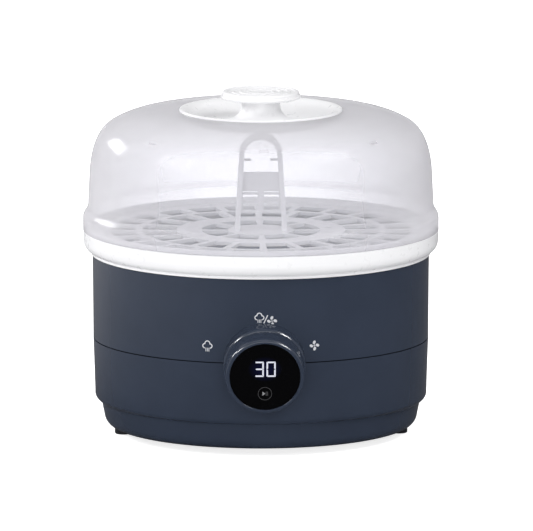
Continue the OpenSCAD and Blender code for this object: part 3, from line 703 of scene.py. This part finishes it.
def shifted(shape, x, y):
    return [[(px + x, py + y) for px, py in outline] for outline in shape]


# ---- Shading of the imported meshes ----

# Corners closer than this are one corner
JOIN_DISTANCE = 0.001 * MM
# Faces that meet at more than this keep a crisp edge between them
EDGE_ANGLE = math.radians(26)


def soft_shading():
    """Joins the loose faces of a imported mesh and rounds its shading, but not its edges."""
    group = bpy.data.node_groups.new("Soft shading", "GeometryNodeTree")
    group.interface.new_socket("Geometry", in_out="INPUT", socket_type="NodeSocketGeometry")
    group.interface.new_socket("Geometry", in_out="OUTPUT", socket_type="NodeSocketGeometry")
    node, link = group.nodes.new, group.links.new
    start, end = node("NodeGroupInput"), node("NodeGroupOutput")
    plain = node("GeometryNodeRemoveAttribute")
    plain.inputs["Name"].default_value = "custom_normal"
    joined = node("GeometryNodeMergeByDistance")
    joined.inputs["Distance"].default_value = JOIN_DISTANCE
    smooth = node("GeometryNodeSetShadeSmooth")
    sharp = node("GeometryNodeSetShadeSmooth")
    sharp.domain = "EDGE"
    sharp.inputs["Shade Smooth"].default_value = False
    angle = node("GeometryNodeInputMeshEdgeAngle")
    above = node("FunctionNodeCompare")
    above.inputs["B"].default_value = EDGE_ANGLE
    link(angle.outputs["Unsigned Angle"], above.inputs["A"])
    link(above.outputs["Result"], sharp.inputs["Selection"])
    chain = (start, plain, joined, smooth, sharp, end)
    for before, after in zip(chain, chain[1:]):
        link(before.outputs[0], after.inputs[0])
    return group


# ---- Operators ----


class Builder(bpy.types.Operator):
    bl_options = {"REGISTER", "UNDO"}


class STERILIZER_OT_finishes(Builder):
    """Give every moulded, metal and electrical part its finish"""

    bl_idname = "sterilizer.finishes"
    bl_label = "Finishes"

    def execute(self, context):
        made = {slot: make() for slot, make in FINISHES.items()}
        group = soft_shading()
        for name, node in frame["nodes"].items():
            node.modifiers.new("Soft shading", "NODES").node_group = group
            for place in node.material_slots:
                slot = place.material.name.split(".")[0]
                if slot not in made:
                    raise RuntimeError(f"{name} has no finish for {slot}")
                place.material = made[slot]
        return {"FINISHED"}


class STERILIZER_OT_display(Builder):
    """Build the lit digits and the touch key on the display window"""

    bl_idname = "sterilizer.display"
    bl_label = "Display"

    def execute(self, context):
        size = sizes()
        face = face_height("display_lens")

        def place(x, y, lift):
            return dial_place(x, y, face + lift)

        bars = []
        for figure, side in (("3", -0.5), ("0", 0.5)):
            bars += digit(
                figure,
                side * size.digit_pitch + 0.1 * MM,
                size.digit_rise,
                size.digit_width,
                size.digit_height,
                size.segment,
                size.segment_gap,
            )
        finished(plate("display_digits", bars, FILM_LIFT, FILM, place), digit_light(), "base")

        r, drop = size.key_radius, size.key_drop
        ring = stroke(circle(0.0, -drop, r, 72), 0.35 * MM, closed=True)
        dim = printed_ink("Dim key print", (0.045, 0.045, 0.048))
        bars = [
            [(x, -drop - 1.5 * MM), (x + 0.6 * MM, -drop - 1.5 * MM)]
            + [(x + 0.6 * MM, -drop + 1.5 * MM), (x, -drop + 1.5 * MM)]
            for x in (0.6 * MM, 1.6 * MM)
        ]
        finished(plate("touch_key_ring", ring, FILM_LIFT, FILM, place), dim, "base")
        finished(plate("touch_key_bars", bars, FILM_LIFT, FILM, place), dim, "base")
        rise = 1.6 * MM
        arrow = [[(-1.75 * MM, -drop - rise), (0.35 * MM, -drop), (-1.75 * MM, -drop + rise)]]
        bright = printed_ink("Key arrow print", (0.26, 0.26, 0.27))
        finished(plate("touch_key_arrow", arrow, FILM_LIFT, FILM, place), bright, "base")
        return {"FINISHED"}


class STERILIZER_OT_marks(Builder):
    """Print the steam and fan marks around the dial"""

    bl_idname = "sterilizer.marks"
    bl_label = "Function marks"

    def execute(self, context):
        size = sizes()
        ink = printed_ink("Light grey print", colours().printed)
        s, pen, depth = size.mark_size, size.mark_stroke, size.print_depth
        cloud = shifted(steam_mark(s * 0.9, pen), -4.5 * MM, 1.7 * MM)
        slash = stroke([(-1.7 * MM, -3.3 * MM), (1.5 * MM, 3.4 * MM)], pen)
        fan = shifted(fan_mark(s, pen), 4.6 * MM, -0.9 * MM)
        shapes = {
            "steam_mark": steam_mark(s * 0.97, pen),
            "fan_mark": fan_mark(s, pen),
            "steam_and_fan_mark": cloud + slash + fan,
        }
        dial_height = dial_place(0.0, 0.0, 0.0).z
        for name, (azimuth, rise) in MARK_PLACES.items():
            place = shell_place(math.radians(azimuth), dial_height + rise)
            finished(plate(name, shapes[name], 0.0, depth, place), ink, "base")
        return {"FINISHED"}


# ---- Stage ----

# Lights as (name, place, (width, height) in metres, watts)
SOFT_BOXES = (
    ("left_box", (-2.0, -0.85, 1.45), (1.2, 0.9), 21.0),
    ("right_box", (1.5, -0.9, 1.95), (1.2, 0.9), 25.0),
    ("front_box", (-0.3, -3.6, 1.0), (3.0, 2.0), 50.0),
    ("shoulder_box", (-1.5, 1.2, 0.86), (0.8, 0.45), 16.0),
    ("top_box", (0.2, 0.6, 3.0), (2.2, 2.2), 4.0),
)
DIAL_STRIPS = (
    ("left_strip", (-1.9, -1.05, 1.2), (0.9, 0.5), 60.0),
    ("right_strip", (1.6, -1.15, 1.55), (1.3, 0.6), 110.0),
)
# Where the soft boxes point: the middle of the object
LIGHT_AIM = (0.0, 0.0, 0.13)


def soft_box(name, at, aim, size, power):
    lamp = bpy.data.lights.new(name, "AREA")
    lamp.shape = "RECTANGLE"
    lamp.size, lamp.size_y = size
    lamp.energy = power
    made = bpy.data.objects.new(name, lamp)
    made.location = at
    made.rotation_euler = (Vector(aim) - Vector(at)).to_track_quat("-Z", "Y").to_euler()
    bpy.context.scene.collection.objects.link(made)
    return made


class STERILIZER_OT_stage(Builder):
    """Set up the floor, the soft lights and the camera"""

    bl_idname = "sterilizer.stage"
    bl_label = "Stage"

    def floor(self, side):
        half = side / 2
        data = bpy.data.meshes.new("studio_floor")
        corners = [(-half, -half), (half, -half), (half, half), (-half, half)]
        data.from_pydata([(x, y, -0.2 * MM) for x, y in corners], [], [(0, 1, 2, 3)])
        piece = bpy.data.objects.new("studio_floor", data)
        bpy.context.scene.collection.objects.link(piece)
        finish = Finish("Pale studio floor")
        path = finish.node("ShaderNodeLightPath").outputs
        seen, mirrored = path["Is Camera Ray"], path["Is Glossy Ray"]
        paper = finish.plastic(
            **{
                "Base Color": finish.shades(
                    finish.noise(0.4), (0.78, 0.78, 0.785), (0.8, 0.8, 0.805)
                ),
                "Roughness": 0.9,
                "Specular IOR Level": 0.1,
            }
        )
        glow = finish.node("ShaderNodeEmission", {"Color": (1.0, 1.0, 1.0, 1.0), "Strength": 0.8})
        both = finish.node("ShaderNodeAddShader", {0: paper, 1: glow})
        # Painted light: rays that mirror the floor see a darker copy of it, painted brighter
        # towards the left, so the glossy shells show a light left edge and a dark right side.
        across = finish.node("ShaderNodeSeparateXYZ", {0: finish.place}).outputs["X"]
        painted_light_leftward = finish.span(across, 0.0, 1.0, -0.15, -0.9)
        mirrored_floor_painted_light = finish.plastic(
            **{
                "Base Color": finish.shades(painted_light_leftward, (0.10, 0.10, 0.105), (0.5, 0.5, 0.51)),
                "Roughness": 0.9,
                "Specular IOR Level": 0.1,
            }
        )
        # Glossy rays get the darker copy with the painted light; other rays get the even paper.
        unseen = finish.node("ShaderNodeMixShader", {0: mirrored, 1: paper, 2: mirrored_floor_painted_light})
        mixed = finish.node("ShaderNodeMixShader", {0: seen, 1: unseen, 2: both})
        data.materials.append(finish.close(mixed))

    def world(self):
        sky = bpy.data.worlds.new("Soft studio")
        bpy.context.scene.world = sky
        sky.use_nodes = True
        tree = sky.node_tree
        ground = tree.nodes["Background"]
        seen = tree.nodes.new("ShaderNodeLightPath").outputs["Is Camera Ray"]
        strength = tree.nodes.new("ShaderNodeMapRange")
        tree.links.new(seen, strength.inputs["Value"])
        strength.inputs["To Min"].default_value = 0.46
        strength.inputs["To Max"].default_value = 1.0
        tree.links.new(strength.outputs[0], ground.inputs["Strength"])
        ground.inputs["Color"].default_value = (0.985, 0.985, 1.0, 1.0)

    def camera(self, stage):
        data = bpy.data.cameras.new("studio_camera")
        piece = bpy.data.objects.new("studio_camera", data)
        bpy.context.scene.collection.objects.link(piece)
        data.lens = data.sensor_width * stage.distance / stage.frame_width
        data.clip_start, data.clip_end = 0.1, 100.0
        turn, pitch = stage.turn, stage.pitch
        back = Vector(
            (
                math.sin(turn) * math.cos(pitch),
                -math.cos(turn) * math.cos(pitch),
                math.sin(pitch),
            )
        )
        right = Vector((math.cos(turn), math.sin(turn), 0.0))
        piece.location = (
            Vector((0.0, 0.0, stage.view_height)) + right * stage.aside + back * stage.distance
        )
        piece.rotation_euler = back.to_track_quat("Z", "Y").to_euler()
        bpy.context.scene.camera = piece

    def strips(self):
        """Gloss on the dial only: its rounded edges mirror these two strips."""
        dial = bpy.data.collections.new("Dial")
        for name in ("dial_collar", "dial_ring"):
            dial.objects.link(frame["nodes"][name])
        for name, at, size, power in DIAL_STRIPS:
            strip = soft_box(name, at, dial_place(0.0, 0.0, 0.0), size, power)
            strip.visible_diffuse = False
            strip.light_linking.receiver_collection = dial

    def execute(self, context):
        stage = context.scene.sterilizer_stage
        context.scene.view_settings.view_transform = "Standard"
        self.camera(stage)
        self.floor(stage.floor_size)
        self.world()
        for name, at, size, power in SOFT_BOXES:
            soft_box(name, at, LIGHT_AIM, size, power)
        self.strips()
        return {"FINISHED"}


class STERILIZER_PT_panel(bpy.types.Panel):
    bl_label = "Sterilizer"
    bl_idname = "STERILIZER_PT_panel"
    bl_space_type = "VIEW_3D"
    bl_region_type = "UI"
    bl_category = "Sterilizer"

    def draw(self, context):
        for operator in OPERATORS:
            self.layout.operator(operator.bl_idname)
        for group in ("sterilizer_sizes", "sterilizer_colours", "sterilizer_stage"):
            box = self.layout.box()
            settings = getattr(context.scene, group)
            for key in settings.__annotations__:
                box.prop(settings, key)


GROUPS = {
    "sterilizer_sizes": SterilizerSizes,
    "sterilizer_colours": SterilizerColours,
    "sterilizer_stage": SterilizerStage,
}
OPERATORS = (
    STERILIZER_OT_stage,
    STERILIZER_OT_finishes,
    STERILIZER_OT_display,
    STERILIZER_OT_marks,
)


def register():
    for group in GROUPS.values():
        bpy.utils.register_class(group)
    for name, group in GROUPS.items():
        setattr(bpy.types.Scene, name, bpy.props.PointerProperty(type=group))
    for operator in OPERATORS:
        bpy.utils.register_class(operator)
    bpy.utils.register_class(STERILIZER_PT_panel)


def unregister():
    bpy.utils.unregister_class(STERILIZER_PT_panel)
    for operator in reversed(OPERATORS):
        bpy.utils.unregister_class(operator)
    for name, group in reversed(GROUPS.items()):
        delattr(bpy.types.Scene, name)
        bpy.utils.unregister_class(group)


def main():
    register()
    bpy.ops.sterilizer.stage()
    bpy.ops.sterilizer.finishes()
    bpy.ops.sterilizer.display()
    bpy.ops.sterilizer.marks()
    bpy.context.view_layer.update()


if __name__ == "__main__":
    main()
